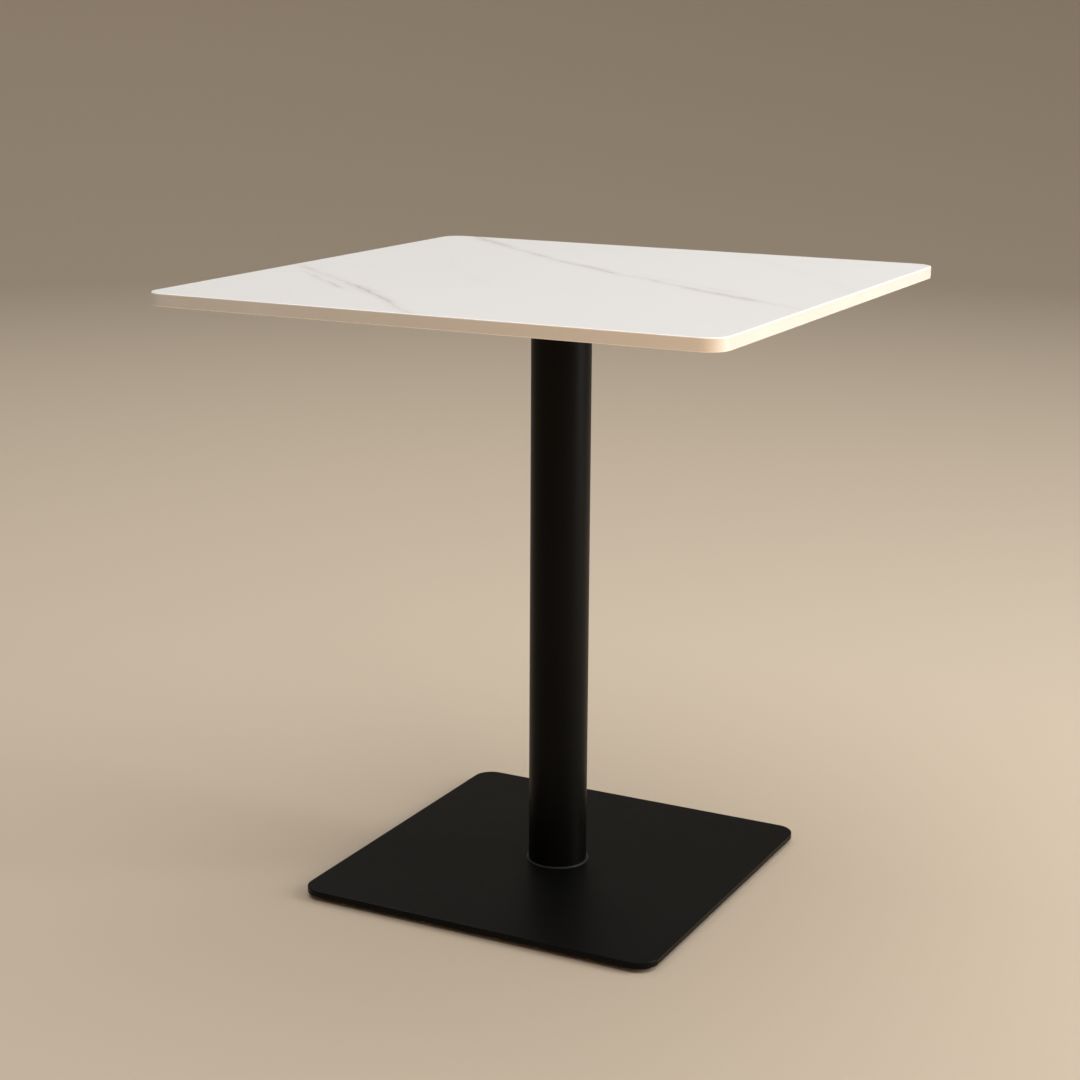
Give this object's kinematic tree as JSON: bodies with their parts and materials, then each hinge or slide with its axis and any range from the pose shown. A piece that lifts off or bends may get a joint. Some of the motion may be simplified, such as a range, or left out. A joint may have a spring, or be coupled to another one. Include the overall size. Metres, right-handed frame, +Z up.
{
  "type": "bistro table",
  "caption": "Square bistro table: marble-look top on a round black steel pedestal and a flat square base plate, with screw-adjusted levelling feet.",
  "frame": {"origin": "on the floor, under the centre of the column", "axes": "+Z up along the column, +X and +Y square to the sides of the top, -Y to the front"},
  "size_m": [0.7, 0.7, 0.75],
  "materials": {
    "marble_laminate": "satin white laminate with faint warm grey veins",
    "edge_band": "satin cream plastic band",
    "core_board": "fine wood-fibre board",
    "backing_laminate": "plain matt balancing sheet",
    "brass_insert": "turned",
    "cast_iron": "black painted casting with a fine sand texture",
    "zinc_steel": "bright zinc plate",
    "spring_steel": "dull zinc plate",
    "turned_steel": "turned",
    "black_oxide_steel": "black oxide",
    "black_powder_coat": "fine matt black powder coat",
    "seat_ring": "matt",
    "black_nylon": "moulded nylon"
  },
  "bodies": {
    "table": {"top_laminate": "marble_laminate", "core_board": "core_board", "backing_sheet": "backing_laminate", "edge_band": "edge_band", "insert_nuts": "brass_insert", "spider": "cast_iron", "spider_bolts": "zinc_steel", "spider_washers": "zinc_steel", "spider_spring_washers": "spring_steel", "column_tube": "black_powder_coat", "column_seat_ring": "seat_ring", "tie_rod": "zinc_steel", "tie_rod_washer": "zinc_steel", "tie_rod_spring_washer": "spring_steel", "tie_rod_nut": "zinc_steel", "tie_rod_jam_nut": "zinc_steel", "base_spigot": "turned_steel", "spigot_screws": "black_oxide_steel", "base_plate": "black_powder_coat"},
    "front_left_foot": {"front_left_pad": "black_nylon"},
    "front_left_screw": {"front_left_stem": "zinc_steel"},
    "front_right_foot": {"front_right_pad": "black_nylon"},
    "front_right_screw": {"front_right_stem": "zinc_steel"},
    "back_right_foot": {"back_right_pad": "black_nylon"},
    "back_right_screw": {"back_right_stem": "zinc_steel"},
    "back_left_foot": {"back_left_pad": "black_nylon"},
    "back_left_screw": {"back_left_stem": "zinc_steel"}
  },
  "joints": [
    {"name": "front_left_foot_travel", "type": "slide", "parent": "table", "child": "front_left_foot", "axis": [0, 0, -1], "range_m": [0, 0.003]},
    {"name": "front_left_screw_turn", "type": "hinge", "parent": "front_left_foot", "child": "front_left_screw", "pos_m": [-0.197, -0.197, 0.003], "axis": [0, 0, -1], "range_deg": [0, 864]},
    {"name": "front_right_foot_travel", "type": "slide", "parent": "table", "child": "front_right_foot", "axis": [0, 0, -1], "range_m": [0, 0.003]},
    {"name": "front_right_screw_turn", "type": "hinge", "parent": "front_right_foot", "child": "front_right_screw", "pos_m": [0.197, -0.197, 0.003], "axis": [0, 0, -1], "range_deg": [0, 864]},
    {"name": "back_right_foot_travel", "type": "slide", "parent": "table", "child": "back_right_foot", "axis": [0, 0, -1], "range_m": [0, 0.003]},
    {"name": "back_right_screw_turn", "type": "hinge", "parent": "back_right_foot", "child": "back_right_screw", "pos_m": [0.197, 0.197, 0.003], "axis": [0, 0, -1], "range_deg": [0, 864]},
    {"name": "back_left_foot_travel", "type": "slide", "parent": "table", "child": "back_left_foot", "axis": [0, 0, -1], "range_m": [0, 0.003]},
    {"name": "back_left_screw_turn", "type": "hinge", "parent": "back_left_foot", "child": "back_left_screw", "pos_m": [-0.197, 0.197, 0.003], "axis": [0, 0, -1], "range_deg": [0, 864]}
  ],
  "couplings": [
    {"joint": "front_left_screw_turn", "follows": "front_left_foot_travel", "rad_per_m": 5026.5},
    {"joint": "front_right_screw_turn", "follows": "front_right_foot_travel", "rad_per_m": 5026.5},
    {"joint": "back_right_screw_turn", "follows": "back_right_foot_travel", "rad_per_m": 5026.5},
    {"joint": "back_left_screw_turn", "follows": "back_left_foot_travel", "rad_per_m": 5026.5}
  ]
}
